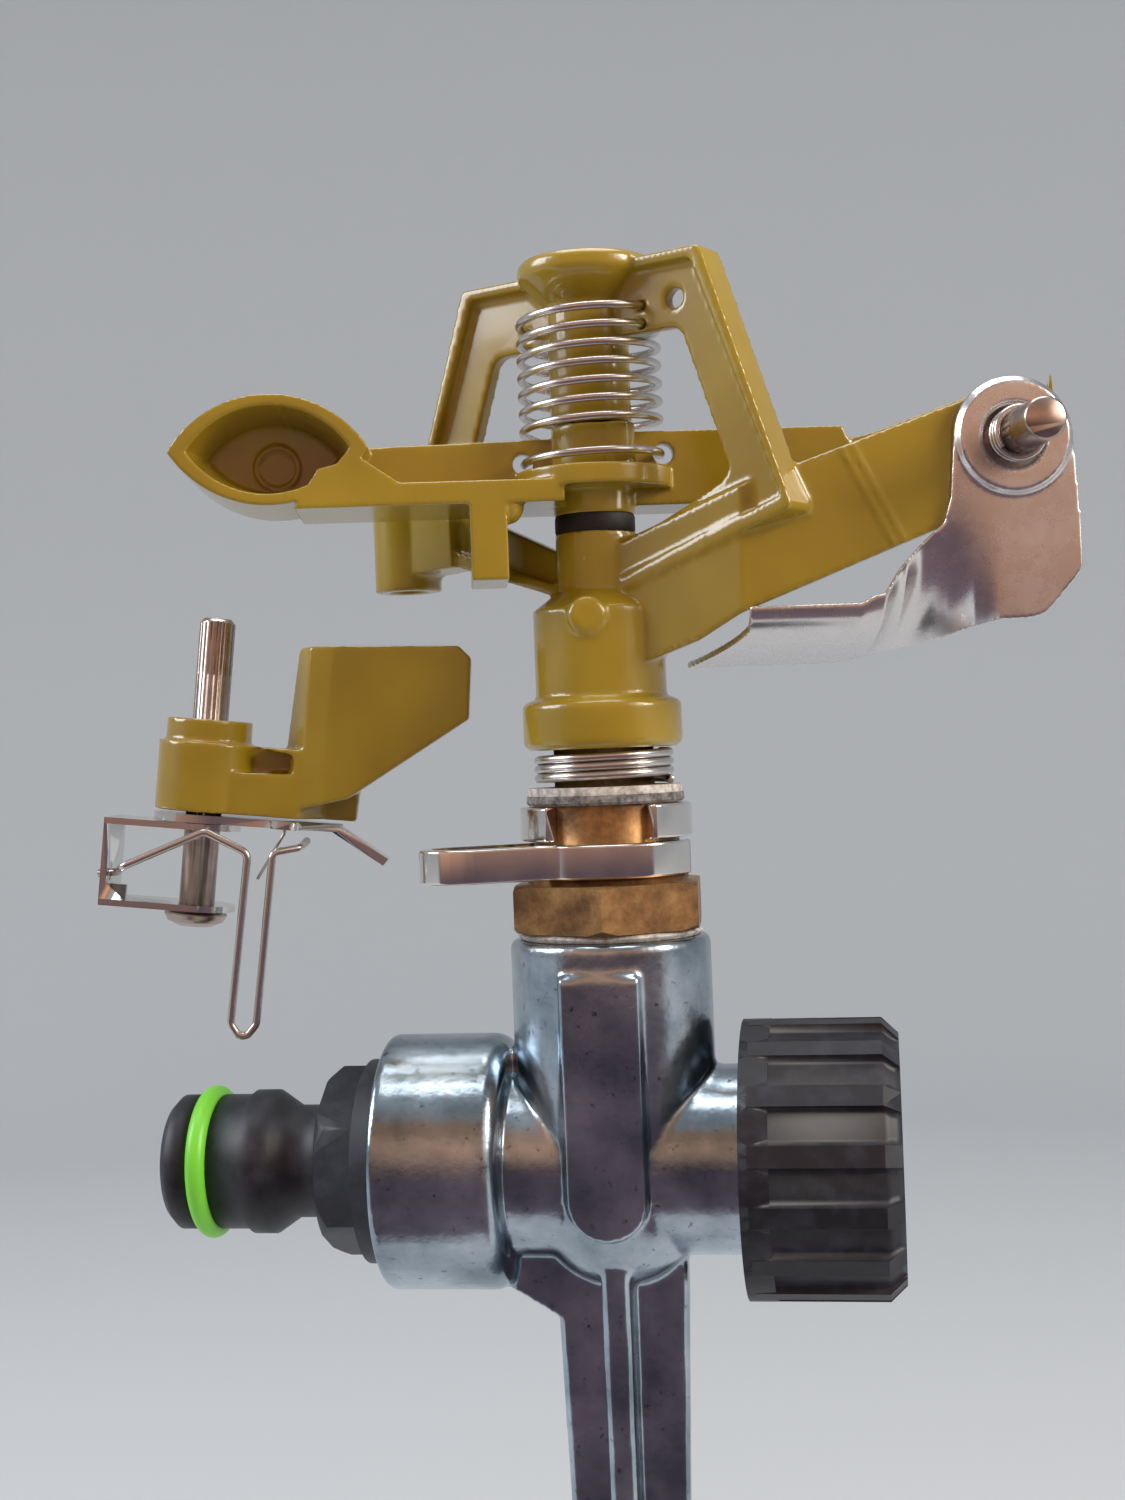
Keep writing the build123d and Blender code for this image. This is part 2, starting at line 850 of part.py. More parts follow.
def counterweight():
    cup = plate_y(lens(0), cup_front_y, cup_front_y + cup_depth)
    floor_y = cup_front_y + cup_hollow
    mouth = Plane.XZ.offset(-cup_front_y + 0.01) * lens(cup_wall)
    hollow = loft([mouth, Plane.XZ.offset(-floor_y) * lens(cup_wall + 1.1)])
    mark = Pos(-38.3, floor_y, 100.4) * Rot(90, 0, 0) * (Cylinder(2.75, 0.5) - Cylinder(2.3, 0.6))
    return cup - hollow + mark


def hammer_arm():
    half_web = beam_web / 2
    beam = plate_y(
        polygon(
            (cup_apex_x - 9, beam_low),
            (-4, beam_low),
            (-4, beam_high),
            (cup_apex_x + 3.5, beam_high),
            (cup_apex_x - 1, 100.2),
            (cup_apex_x - 6, 99),
        ),
        cup_front_y,
        cup_front_y + cup_depth,
    )
    web = plate_y(
        polygon(
            (cup_apex_x - 3, beam_low),
            (0, beam_low),
            (0, beam_web_high),
            (cup_apex_x - 3, beam_web_high - 0.6),
        ),
        -half_web,
        half_web,
    )
    right = plate_y(
        polygon(
            (0, plate_low),
            (plate_end_x, plate_low),
            (plate_end_x + 1, plate_high - 2),
            (plate_end_x, plate_high),
            (0, plate_high),
        ),
        -half_web,
        half_web,
    )
    right += plate_y(
        polygon(
            (4, plate_low),
            (plate_end_x, plate_low),
            (plate_end_x, plate_low + 1.6),
            (4, plate_low + 1.6),
        ),
        -half_web,
        9.0,
    )
    lug = plate_y(
        polygon(
            (lug_from_x, beam_low + 0.5),
            (lug_from_x, lug_low),
            (lug_to_x, lug_low),
            (lug_to_x, beam_low + 0.5),
        ),
        cup_front_y,
        lug_stop_y(),
    )
    knob = Pos((lug_to_x + 0.1), cup_front_y + 2.2, 94.0) * Sphere(2.0)
    hub = tube_between(hammer_low, hammer_high, hammer_tube_r) + tube_between(
        hammer_disc_low, hammer_disc_high, hammer_disc_r
    )
    rib = Pos(2.7, -3.0, 0) * tube_between(hammer_disc_high - 0.5, hammer_high, 2.3)
    arm = beam + web + right + drive_arm() + lug + knob + hub + rib
    arm -= tube_between(beam_low - 4, hammer_low, hammer_disc_r + 1)
    arm += counterweight()
    arm -= tube_between(hammer_low - 1, hammer_high + 1, shaft_r + run_gap)
    for hole_x, hole_z in (
        (-arm_coil_r - 0.2, hammer_hole_left_z), (arm_coil_r + 0.2, hammer_hole_right_z)
    ):
        arm -= Pos(hole_x, 0, hole_z) * Rot(90, 0, 0) * Cylinder(hammer_hole_r, 3 * beam_web)
    return arm


def lug_stop_y():
    """Back of the anvil lug, one face gap before the bridge's left strut."""
    side = math.radians(-bridge_turn)
    corner_x = -lug_to_x
    half_depth = bridge_depth / 2
    return corner_x * math.tan(side) - half_depth / math.cos(side) - 0.35


def drive_arm():
    """Arm behind the nozzle barrel, ending in the curved vane that stands in the jet."""
    back_y = beam_web / 2
    front_y = back_y - vane_thick
    side = polygon(
        (plate_end_x - 1, plate_low),
        (plate_end_x - 1, 101.4),
        (34.8, 102.6),
        (51.5, 108.3),
        (52.4, 108.3),
        (53.4, 106.8),
        (53.9, 103.2),
        (vane_out_x + 3, 102.0),
        (vane_out_x + 3, 92.6),
        (50.5, 92.6),
        (46, 98.5),
    )
    vane_in_x = vane_out_x - vane_thick
    straight = [(plate_end_x - 1, back_y), (plate_end_x - 1, front_y), (50.2, front_y)]
    curve_in = [
        (vane_in_x - 0.5, -2.4), (vane_in_x - 0.05, -5.2), (vane_in_x, -9.0), (vane_in_x - 0.3, -12.4)
    ]
    curve_out = [(x + vane_thick, y) for x, y in reversed(curve_in)]
    plan = polygon(*straight, *curve_in, *curve_out, (53.2, -0.4), (51.0, back_y))
    return plate_y(side, -20, 5) & plate_z(plan, 80, 115)


def hook_points():
    """Way of the torsion spring's upper end: round behind the web, through its hole and along its front."""
    end_angle = math.radians(-90 + 360 * (arm_coil_turns % 1))
    end = Vector(arm_coil_r * math.cos(end_angle), arm_coil_r * math.sin(end_angle), spring_hook_z)
    onward = Vector(-math.sin(end_angle), math.cos(end_angle), 0)
    side = math.radians(bridge_turn)
    outward = Vector(math.cos(side), math.sin(side), 0)
    backward = Vector(-math.sin(side), math.cos(side), 0)
    hole = outward * spring_hook_r + Vector(0, 0, spring_hook_z)
    bend = end + onward * 1.2
    front = hole - backward * 1.9
    return [end, bend, bend + Vector(1.2, 0.6, 0), hole + backward * 1.9, front, front + outward * 3]


def arm_spring():
    """Torsion spring: close coils round the stem, and a last turn through the hammer's two holes."""
    wire_r = arm_wire / 2
    back_share = 150 / 360
    back_rise = arm_coil_start() - hammer_hole_right_z
    back_turn = Pos(0, 0, hammer_hole_right_z) * coil(
        back_rise / back_share, back_share, arm_coil_r, arm_wire
    )
    rise = hammer_hole_right_z - hammer_hole_left_z
    front_turn = Pos(0, 0, hammer_hole_left_z) * Rot(0, 0, 180) * coil(
        2 * rise, 0.5, arm_coil_r, arm_wire
    )
    hook = swept_wire(FilletPolyline(*hook_points(), radius=[0.5, 0.7, 0.6, 0.6]), wire_r)
    spring = arm_coils(arm_wire) + back_turn + front_turn + hook
    meeting = Vector(arm_coil_r, 0, arm_coil_start()).rotate(Axis.Z, 150)
    for place in (Vector(arm_coil_r, 0, hammer_hole_right_z), meeting, hook_points()[0]):
        spring += Pos(place) * Sphere(wire_r)
    return spring


def eye():
    """Raised ring and dished hole of the flap, turned about the pin."""
    back = -flap_back_y
    raised = back + eye_raise
    hole_r = flap_pin_r + run_gap
    profile = polygon(
        (hole_r, back),
        (eye_ring_in - 0.9, back),
        (eye_ring_in, raised),
        (eye_ring_out - 0.5, raised),
        (eye_r - 0.2, back),
        (eye_r, back),
        (eye_r, back + sheet),
        (eye_r - 0.1, back + sheet),
        (eye_ring_out, raised + sheet),
        (eye_ring_in - 0.5, raised + sheet),
        (eye_ring_in - 1.5, back + sheet),
        (hole_r, back + sheet),
    )
    ring = revolve(Plane.XZ * profile, Axis.Z)
    return Pos(pin_x, 0, pin_z) * Rot(90, 0, 0) * ring


def ease(value):
    value = min(max(value, 0.0), 1.0)
    return value * value * (3 - 2 * value)


def flap_point(x, share):
    """Middle of the flap's sheet: upright below the eye, rolled back into a slanting plate to its left."""
    front_y = flap_back_y - sheet / 2
    top_z = pin_z - (pin_z - flap_plate_z) * ease((39.2 - x) / 8.8)
    plate_share = ease((46.0 - x) / 13.0)
    far_y = front_y + flap_plate_depth * plate_share
    far_z = flap_low - (flap_low - flap_plate_z + flap_plate_drop) * plate_share
    corner_z = 0.35 * top_z + 0.65 * far_z + 1.6 * plate_share
    near = (1 - share) ** 2
    middle = 2 * share * (1 - share)
    far = share ** 2
    return Vector(
        x, front_y + (far_y - front_y) * share ** 3, top_z * near + corner_z * middle + far_z * far
    )


def flap_section(x):
    """Slice through the bent sheet at one x, its full thickness."""
    middle = [flap_point(x, row / 10) for row in range(11)]
    front = []
    back = []
    for row, point in enumerate(middle):
        along = middle[min(row + 1, 10)] - middle[max(row - 1, 0)]
        offset = Vector(0, along.Z, -along.Y).normalized() * (sheet / 2)
        front.append(point + offset)
        back.append(point - offset)
    sides = Spline(*front) + Line(
        front[-1], back[-1]
    ) + Spline(*reversed(back)) + Line(back[0], front[0])
    return make_face(sides)


def deflector_flap():
    steps = 18
    stride = (flap_right_x + 2 - flap_plate_from) / steps
    scoop = loft(
        [flap_section(flap_plate_from - 1 + step * stride) for step in range(steps + 1)], ruled=True
    )
    outline = polygon(
        (flap_plate_from - 4, 70),
        (44.0, 77.2),
        (50.6, 78.6),
        (flap_right_x, 83.6),
        (flap_right_x, 87.4),
        (pin_x + eye_r, pin_z),
        (pin_x + eye_r, pin_z + 2),
        (pin_x - eye_r, pin_z + 2),
        (pin_x - eye_r, pin_z),
        (40.0, 92.5),
        (39.2, 89.6),
        (36.4, 87.1),
        (33.8, 84.4),
        (31.9, 81.6),
        (29.5, 81.2),
        (flap_plate_from - 4, 82),
    )
    outline = fillet(outline.vertices().filter_by(lambda v: 50 < v.X and 75 < v.Y < 84), 3.0)
    scoop = scoop & plate_y(outline, -30, 10)
    plan = polygon(
        (flap_plate_from, 12),
        (flap_plate_from + 1.6, 2.2),
        (16.2, -14),
        (16.4, -25),
        (70, -25),
        (70, 12),
    )
    scoop = scoop & plate_z(plan, 60, 120)
    scoop -= Pos(pin_x, -16, pin_z) * Rot(90, 0, 0) * Cylinder(eye_r - 0.15, 8)
    return scoop + eye()


def flap_pin():
    """Pin with a grooved shank, a knurled band and a plain end, standing out towards the front."""
    root_r = flap_pin_r - 0.35
    band_from = -flap_back_y + sheet + 0.2 + 3.2 * flap_coil_wire * 1.5
    end = -flap_pin_end_y
    depth = -arm_near_y - 3.2 + fit_gap
    pin = turned(
        (0, depth),
        (root_r, depth),
        (root_r, -arm_near_y + fit_gap),
        (flap_pin_r, -arm_near_y + fit_gap),
        (flap_pin_r, -flap_back_y + sheet),
        (flap_pin_groove_r, -flap_back_y + sheet),
        (flap_pin_groove_r, band_from),
        (flap_pin_r + 0.1, band_from),
        (flap_pin_r + 0.1, band_from + 3.2),
        (flap_pin_r, band_from + 3.4),
        (flap_pin_r, end - 0.3),
        (flap_pin_r - 0.3, end),
        (0, end),
    )
    notch = Pos(flap_pin_r + 0.22, 0, band_from + 1.6) * Rot(0, 0, 45) * Box(0.36, 0.36, 3.3)
    pin -= [Rot(0, 0, step * 20) * notch for step in range(18)]
    return Pos(pin_x, 0, pin_z) * Rot(90, 0, 0) * pin


def flap_spring():
    start = -flap_back_y + sheet + flap_coil_wire / 2 + 0.06
    turns = 2.6
    pitch = 1.5 * flap_coil_wire
    return Pos(pin_x, 0, pin_z) * Rot(90, 0, 0) * Pos(0, 0, start) * coil(
        pitch, turns, flap_coil_r, flap_coil_wire
    )


def trip_pin():
    low = -trip_pin_length
    pin = turned(
        (0, 0),
        (trip_pin_r - 0.5, 0),
        (trip_pin_r, -0.6),
        (trip_pin_r, low + trip_head_thick),
        (trip_head_r - 0.2, low + trip_head_thick),
        (trip_head_r, low + trip_head_thick - 0.3),
        (trip_head_r - 0.5, low + 0.7),
        (trip_head_r - 1.8, low + 0.1),
        (0, low),
    )
    notch = Pos(
        trip_pin_r + 0.08, 0, -0.6 - trip_knurl_length / 2
    ) * Rot(0, 0, 45) * Box(0.4, 0.4, trip_knurl_length)
    return pin - [Rot(0, 0, step * 20) * notch for step in range(18)]


def trip_lever():
    """Cast lever: a hub on the pin, an arm and the bent paddle that the hammer strikes."""
    hub = tube_between(
        lever_hub_low, lever_hub_top, lever_hub_r
    ) + tube_between(lever_hub_low, -15.8, lever_hub_r + 0.8)
    cheek = plate_z(
        polygon((-1, -5.2), (12.5, -4.4), (15.5, 0.5), (12, 3.2), (-1, 5.2)), lever_hub_low, -15.9
    )
    recess = plate_y(polygon((1.0, -15.2), (11.5, -16.6), (11.5, -19.0), (1.0, -19.4)), -9, -1.2)
    front = paddle_front_y
    back = front + paddle_thick
    outline = polygon(
        (10.9, -2.9),
        (31.2, -1.3),
        (32.9, -2.7),
        (33.2, -10.4),
        (18.7, -21.6),
        (12.4, -23.4),
        (9.6, -21.5),
    )
    outline = fillet(outline.vertices().filter_by(lambda v: v.Y > -5), 0.8)
    plan = polygon(
        (9.4, 1.2),
        (12.6, front + 1.0),
        (15.6, front),
        (40, front),
        (40, back),
        (16.4, back),
        (14.4, back + 1.0),
        (12.0, 3.2),
    )
    paddle = plate_y(outline, -12, 8) & plate_z(plan, -30, 6)
    tab = plate_y(polygon((11, -19.6), (19.6, -19.6), (19.4, -24.6), (11, -24.6)), 1.2, 3.4)
    rib = plate_y(polygon((11, -17), (18, -17), (19.6, -19.6), (19.6, -21), (11, -21)), back - 0.5, 3.4)
    lever = hub + (cheek - recess) + paddle + tab + rib
    return lever - tube_between(lever_hub_low - 6, lever_hub_top + 6, trip_pin_r + run_gap)


def trip_plate():
    """Steel plate under the lever, rounded about the pin and drawn out into a bent prong."""
    high = lever_hub_low - plate_gap_z
    low = high - trip_plate_thick
    blade = Circle(6.2) + polygon(
        (0, -5.6),
        (9, -4.7),
        (10, -6.6),
        (12.6, -6.6),
        (13.2, -4.1),
        (17.8, -2.2),
        (17.8, 1.6),
        (12, 4.2),
        (0, 6.0),
    )
    blade -= Pos(hair_hole_x, hair_hole_y) * Circle(hair_wire_d / 2 + fit_gap)
    blade = plate_z(blade, low, high)
    prong = plate_y(
        polygon((17.2, high), (24.2, high - 3.9), (23.6, high - 4.8), (16.8, low)), -2.2, 1.6
    )
    return blade + prong - tube_between(low - 1, high + 1, trip_pin_r + run_gap)


def bracket_top():
    return lever_hub_low - plate_gap_z - trip_plate_thick - 0.15


def trip_bracket():
    """Folded channel: two leaves round the pin, joined by a web on the left."""
    high = bracket_top()
    leaf = Circle(4.9) + polygon((bracket_left, -4.6), (1, -4.9), (1, 4.9), (bracket_left, 4.6))
    upper = plate_z(leaf, high - bracket_sheet, high)
    lower = plate_z(leaf, bracket_low, bracket_low + bracket_sheet)
    web = plate_y(
        polygon(
            (bracket_left, bracket_low),
            (bracket_left + bracket_sheet, bracket_low),
            (bracket_left + bracket_sheet, high),
            (bracket_left, high),
        ),
        -4.6,
        4.6,
    )
    lip = plate_z(
        polygon(
            (bracket_left, -4.6),
            (bracket_left + 3.4, -4.6),
            (bracket_left + 3.4, -3.8),
            (bracket_left, -3.8),
        ),
        bracket_low,
        bracket_low + 2.8,
    )
    bracket = upper + lower + web + lip
    bracket -= tube_between(bracket_low - 1, high + 1, trip_pin_r + run_gap)
    eyelet = Pos(bracket_left, -2.6, -33.4) * Rot(0, 90, 0) * Cylinder(trip_wire_d / 2 + 0.25, 4)
    return bracket - eyelet


def trip_wire():
    """Bent wire: held in the bracket, over the pin's front, then a long loop that the collars push."""
    front = paddle_front_y - 0.9
    points = [
        (bracket_left - 0.6, -2.6, -33.4),
        (bracket_left + 1.8, -2.9, -33.0),
        (bracket_left + 3.2, front, -32.0),
        (1.4, front, -26.9),
        (7.0, front, -29.2),
        (6.5, front, -50.6),
        (8.1, front, -52.8),
        (9.7, front, -50.4),
        (10.1, front, -28.9),
        (13.3, front + 1.4, -28.1),
        (13.6, -1.2, -27.4),
    ]
    radii = [0.8, 0.9, 1.2, 1.2, 1.2, 1.1, 1.2, 0.9, 0.9]
    path = FilletPolyline(*points, radius=radii)
    return swept_wire(path, trip_wire_d / 2)


def toggle_spring():
    """Hair-thin over-centre spring wire between the plate and the trip wire."""
    points = [
        (hair_hole_x, hair_hole_y, lever_hub_low - plate_gap_z),
        (hair_hole_x, hair_hole_y, lever_hub_low - 1.8),
        (8.3, -5.2, -32.4),
    ]
    path = FilletPolyline(*points, radius=0.8)
    return swept_wire(path, hair_wire_d / 2)


def in_head(part):
    return Rot(0, 0, head_turn) * part


def in_unit(part):
    """Where the loose trip unit lies beside the sprinkler."""
    return Rot(0, 0, view_turn) * Pos(unit_left, unit_back, unit_high) * Rot(0, unit_lean, 0) * part


nodes = {
    "socket_casting": socket_casting(),
    "hose_connector": hose_connector(),
    "connector_o_ring": connector_o_ring(),
    "connector_washer": connector_washer(),
    "end_cap": end_cap(),
    "cap_washer": cap_washer(),
    "bearing_sleeve": bearing_sleeve(),
    "thread_sealant": thread_sealant(),
    "bearing_tube": bearing_tube(),
    "foot_washer": foot_washer(),
    "thrust_ring": thrust_ring(),
    "slip_washer": slip_washer(),
    "upper_collar": collar(upper_collar_turn, upper_collar_z),
    "lower_collar": collar(lower_collar_turn, lower_collar_z),
    "lift_spring": lift_spring(),
    "sprinkler_body": in_head(sprinkler_body()),
    "nozzle_bush": in_head(nozzle_bush()),
    "pivot_shaft": in_head(pivot_shaft()),
    "pivot_seal": in_head(pivot_seal()),
    "hammer_arm": in_head(hammer_arm()),
    "arm_spring": in_head(arm_spring()),
    "deflector_flap": in_head(deflector_flap()),
    "flap_pin": in_head(flap_pin()),
    "flap_spring": in_head(flap_spring()),
    "trip_pin": in_unit(trip_pin()),
    "trip_lever": in_unit(trip_lever()),
    "trip_plate": in_unit(trip_plate()),
    "trip_bracket": in_unit(trip_bracket()),
    "trip_wire": in_unit(trip_wire()),
    "toggle_spring": in_unit(toggle_spring()),
}

os.makedirs("parts", exist_ok=True)
for name, shape in nodes.items():
    export_step(shape, f"parts/{name}.step")
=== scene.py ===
"""Spike impact sprinkler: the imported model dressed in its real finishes, in a plain studio."""

import json
import math

import bmesh
import bpy
from mathutils import Matrix, Vector


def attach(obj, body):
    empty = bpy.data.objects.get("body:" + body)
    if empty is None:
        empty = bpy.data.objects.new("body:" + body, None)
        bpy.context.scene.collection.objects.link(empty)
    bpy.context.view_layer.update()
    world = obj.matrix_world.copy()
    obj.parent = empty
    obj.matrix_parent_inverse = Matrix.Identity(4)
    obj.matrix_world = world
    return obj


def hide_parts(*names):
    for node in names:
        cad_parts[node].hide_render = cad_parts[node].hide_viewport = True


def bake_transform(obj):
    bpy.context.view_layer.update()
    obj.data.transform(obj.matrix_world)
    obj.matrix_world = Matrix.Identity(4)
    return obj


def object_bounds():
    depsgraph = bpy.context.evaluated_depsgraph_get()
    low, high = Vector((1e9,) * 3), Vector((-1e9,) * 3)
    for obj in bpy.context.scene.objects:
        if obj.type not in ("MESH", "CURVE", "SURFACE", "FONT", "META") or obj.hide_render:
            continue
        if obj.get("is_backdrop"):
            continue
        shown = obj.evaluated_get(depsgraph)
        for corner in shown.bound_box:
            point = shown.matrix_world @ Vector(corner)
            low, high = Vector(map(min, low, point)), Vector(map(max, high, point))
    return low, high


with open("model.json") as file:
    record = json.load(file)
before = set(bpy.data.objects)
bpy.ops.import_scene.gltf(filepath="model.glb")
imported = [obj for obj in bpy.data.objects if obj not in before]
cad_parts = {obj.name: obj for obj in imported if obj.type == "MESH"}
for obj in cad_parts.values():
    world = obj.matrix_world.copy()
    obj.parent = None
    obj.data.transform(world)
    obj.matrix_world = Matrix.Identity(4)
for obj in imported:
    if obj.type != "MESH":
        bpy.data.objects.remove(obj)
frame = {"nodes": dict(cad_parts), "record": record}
lowest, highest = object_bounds()
body_of_node = {}
for body, nodes in frame["record"]["behaviour"]["bodies"].items():
    for node in nodes:
        body_of_node[node] = body


# Camera
# It stands close by, level with the thrust ring of the bearing, square to a line nine degrees off
# the cross pipe, and it is rolled by about two degrees.
view_turn = math.radians(9.0)
view_roll = math.radians(2.16)
view_distance = 0.244
view_side = -0.005
view_height = 0.065
right = Vector((math.cos(view_turn), math.sin(view_turn), 0))
away = Vector((-math.sin(view_turn), math.cos(view_turn), 0))
up = Vector((0, 0, 1))

lens = bpy.data.cameras.new("close_lens")
lens.lens = 48
lens.sensor_width = 36
lens.sensor_fit = "AUTO"
lens.clip_start = 0.01
lens.clip_end = 20
camera = bpy.data.objects.new("close_camera", lens)
bpy.context.scene.collection.objects.link(camera)
camera_up = up * math.cos(view_roll) + right * math.sin(view_roll)
camera_right = right * math.cos(view_roll) - up * math.sin(view_roll)
camera_place = Matrix((camera_right, camera_up, -away)).transposed().to_4x4()
camera_place.translation = right * view_side - away * view_distance + up * view_height
camera.matrix_world = camera_place
bpy.context.scene.camera = camera


# Studio floor and wall
# A round sweep in pale grey, from the floor under the spike's point up to a wall all round, so that
# every view has the same plain ground.
def linear(hex_colour):
    """An sRGB hex colour as linear red, green, blue and alpha."""
    channels = [int(hex_colour[i : i + 2], 16) / 255 for i in (1, 3, 5)]
    return [c / 12.92 if c <= 0.04045 else ((c + 0.055) / 1.055) ** 2.4 for c in channels] + [1.0]


def new_material(name):
    """A material with its node tree and its one Principled shader."""
    material = bpy.data.materials.new(name)
    material.use_nodes = True
    return material, material.node_tree, material.node_tree.nodes["Principled BSDF"]


def new_object(name, mesh):
    """An object at the origin that shows this mesh."""
    obj = bpy.data.objects.new(name, mesh)
    bpy.context.scene.collection.objects.link(obj)
    return obj


def matt_paint():
    """Matt wall paint: no gloss, one even pale colour."""
    material, _, shader = new_material("matt_paint")
    shader.inputs["Base Color"].default_value = linear("#B4B7BA")
    shader.inputs["Roughness"].default_value = 1.0
    shader.inputs["Specular IOR Level"].default_value = 0.0
    return material


sweep_radius = 1.5
sweep_bend = 0.5
sweep_bend_steps = 12
sweep_height = 1.6
sweep_turns = 64
floor_gap = 0.0005
floor_z = lowest.z - floor_gap
flat_radius = sweep_radius - sweep_bend

sweep = bmesh.new()
rim = [sweep.verts.new((0, 0, floor_z)), sweep.verts.new((flat_radius, 0, floor_z))]
for step in range(1, sweep_bend_steps + 1):
    bend = math.pi / 2 * step / sweep_bend_steps
    x = flat_radius + sweep_bend * math.sin(bend)
    rim.append(sweep.verts.new((x, 0, floor_z + sweep_bend * (1 - math.cos(bend)))))
rim.append(sweep.verts.new((sweep_radius, 0, floor_z + sweep_height)))
rim_lines = [sweep.edges.new(pair) for pair in zip(rim, rim[1:])]
bmesh.ops.spin(
    sweep,
    geom=rim + rim_lines,
    axis=(0, 0, 1),
    cent=(0, 0, 0),
    angle=math.tau,
    steps=sweep_turns,
    use_merge=True,
)
bmesh.ops.remove_doubles(sweep, verts=sweep.verts, dist=1e-5)
bmesh.ops.recalc_face_normals(sweep, faces=sweep.faces)
for face in sweep.faces:
    face.smooth = True
sweep_mesh = bpy.data.meshes.new("studio_sweep")
sweep.to_mesh(sweep_mesh)
sweep.free()
sweep_mesh.materials.append(matt_paint())
new_object("studio_sweep", sweep_mesh)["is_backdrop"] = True


# Reflection cards
# Painted cards bent round the front of the object, for bright metal to reflect. The camera doesn't
# see them, they throw no shadow, and the one near the floor doesn't darken it either.
def add_node(tree, kind, inputs=None, **settings):
    """Adds a shader node; an input given as a socket is linked, and any other is set."""
    node = tree.nodes.new(kind)
    for key, value in settings.items():
        setattr(node, key, value)
    for key, value in (inputs or {}).items():
        if isinstance(value, bpy.types.NodeSocket):
            tree.links.new(value, node.inputs[key])
        else:
            node.inputs[key].default_value = value
    return node


def card_paint():
    """Matt paint in two colours: dark plum at the bottom, warm terracotta higher up."""
    dark_to = -0.02
    warm_from = 0.2
    material, tree, shader = new_material("card_paint")
    place = add_node(tree, "ShaderNodeTexCoord").outputs["Object"]
    z = add_node(tree, "ShaderNodeSeparateXYZ", {"Vector": place}).outputs["Z"]
    height = add_node(tree, "ShaderNodeMapRange", {"Value": z, "From Min": dark_to, "From Max": warm_from})
    shade = add_node(tree, "ShaderNodeValToRGB", {"Fac": height.outputs["Result"]})
    shade.color_ramp.elements[0].color = linear("#5A4E58")
    shade.color_ramp.elements[1].color = linear("#D0A488")
    tree.links.new(shade.outputs["Color"], shader.inputs["Base Color"])
    shader.inputs["Roughness"].default_value = 1.0
    shader.inputs["Specular IOR Level"].default_value = 0.0
    return material


card_half_angle = math.radians(62)
card_steps = 24
card_start = -away * math.cos(card_half_angle) - right * math.sin(card_half_angle)
two_colours = card_paint()


def curved_card(name, outline):
    """A card spun round the front of the object from (distance, height) points."""
    card = bmesh.new()
    points = [card.verts.new(card_start * distance + up * height) for distance, height in outline]
    lines = [card.edges.new(pair) for pair in zip(points, points[1:])]
    bmesh.ops.spin(
        card,
        geom=points + lines,
        axis=(0, 0, 1),
        cent=(0, 0, 0),
        angle=card_half_angle * 2,
        steps=card_steps,
    )
    mesh = bpy.data.meshes.new(name)
    card.to_mesh(mesh)
    card.free()
    mesh.materials.append(two_colours)
    reflected = new_object(name, mesh)
    reflected.visible_camera = False
    reflected.visible_shadow = False
    reflected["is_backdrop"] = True
    return reflected


curved_card("wall_card", ((0.62, -0.05), (0.62, 0.36), (0.5, 0.52)))
floor_card = curved_card("floor_card", ((0.12, -0.16), (0.5, -0.16), (0.62, -0.05)))
floor_card.visible_diffuse = False


# Lamps
# Two windows, a cool one on the left and a warmer one on the right, and a soft ceiling lamp, all
# turned to the middle of the object, with a pale room round them.
def soft_lamp(name, place, width, watts, colour):
    """A square lamp that faces the middle of the object."""
    light = bpy.data.lights.new(name, "AREA")
    light.shape = "SQUARE"
    light.size = width
    light.energy = watts
    light.color = linear(colour)[:3]
    lamp = bpy.data.objects.new(name, light)
    bpy.context.scene.collection.objects.link(lamp)
    middle = Vector((0, 0, 0.02))
    turn = (Vector(place) - middle).to_track_quat("Z", "Y")
    lamp.matrix_world = Matrix.Translation(place) @ turn.to_matrix().to_4x4()


soft_lamp("window_left", (-1.0, -0.25, 0.62), 0.6, 10.0, "#F4F8FF")
soft_lamp("window_right", (1.0, -0.3, 0.55), 0.5, 13.0, "#FFF6EC")
soft_lamp("ceiling", (0.0, 0.1, 1.25), 0.9, 10.0, "#FFFFFF")
room = bpy.data.worlds.new("room")
room.use_nodes = True
room.node_tree.nodes["Background"].inputs["Color"].default_value = linear("#D5DADF")
room.node_tree.nodes["Background"].inputs["Strength"].default_value = 0.55
bpy.context.scene.world = room
bpy.context.scene.view_settings.view_transform = "Standard"


# Socket casting and spike
# One die casting in zinc alloy, bright plated: two crossed blades under a riser socket with the
# water way across it. It comes out of the die with fine grain and softened corners.
def pattern_scale(size_mm):
    """The texture scale at which one feature of a pattern is about this many millimetres."""
    return 1000 / size_mm


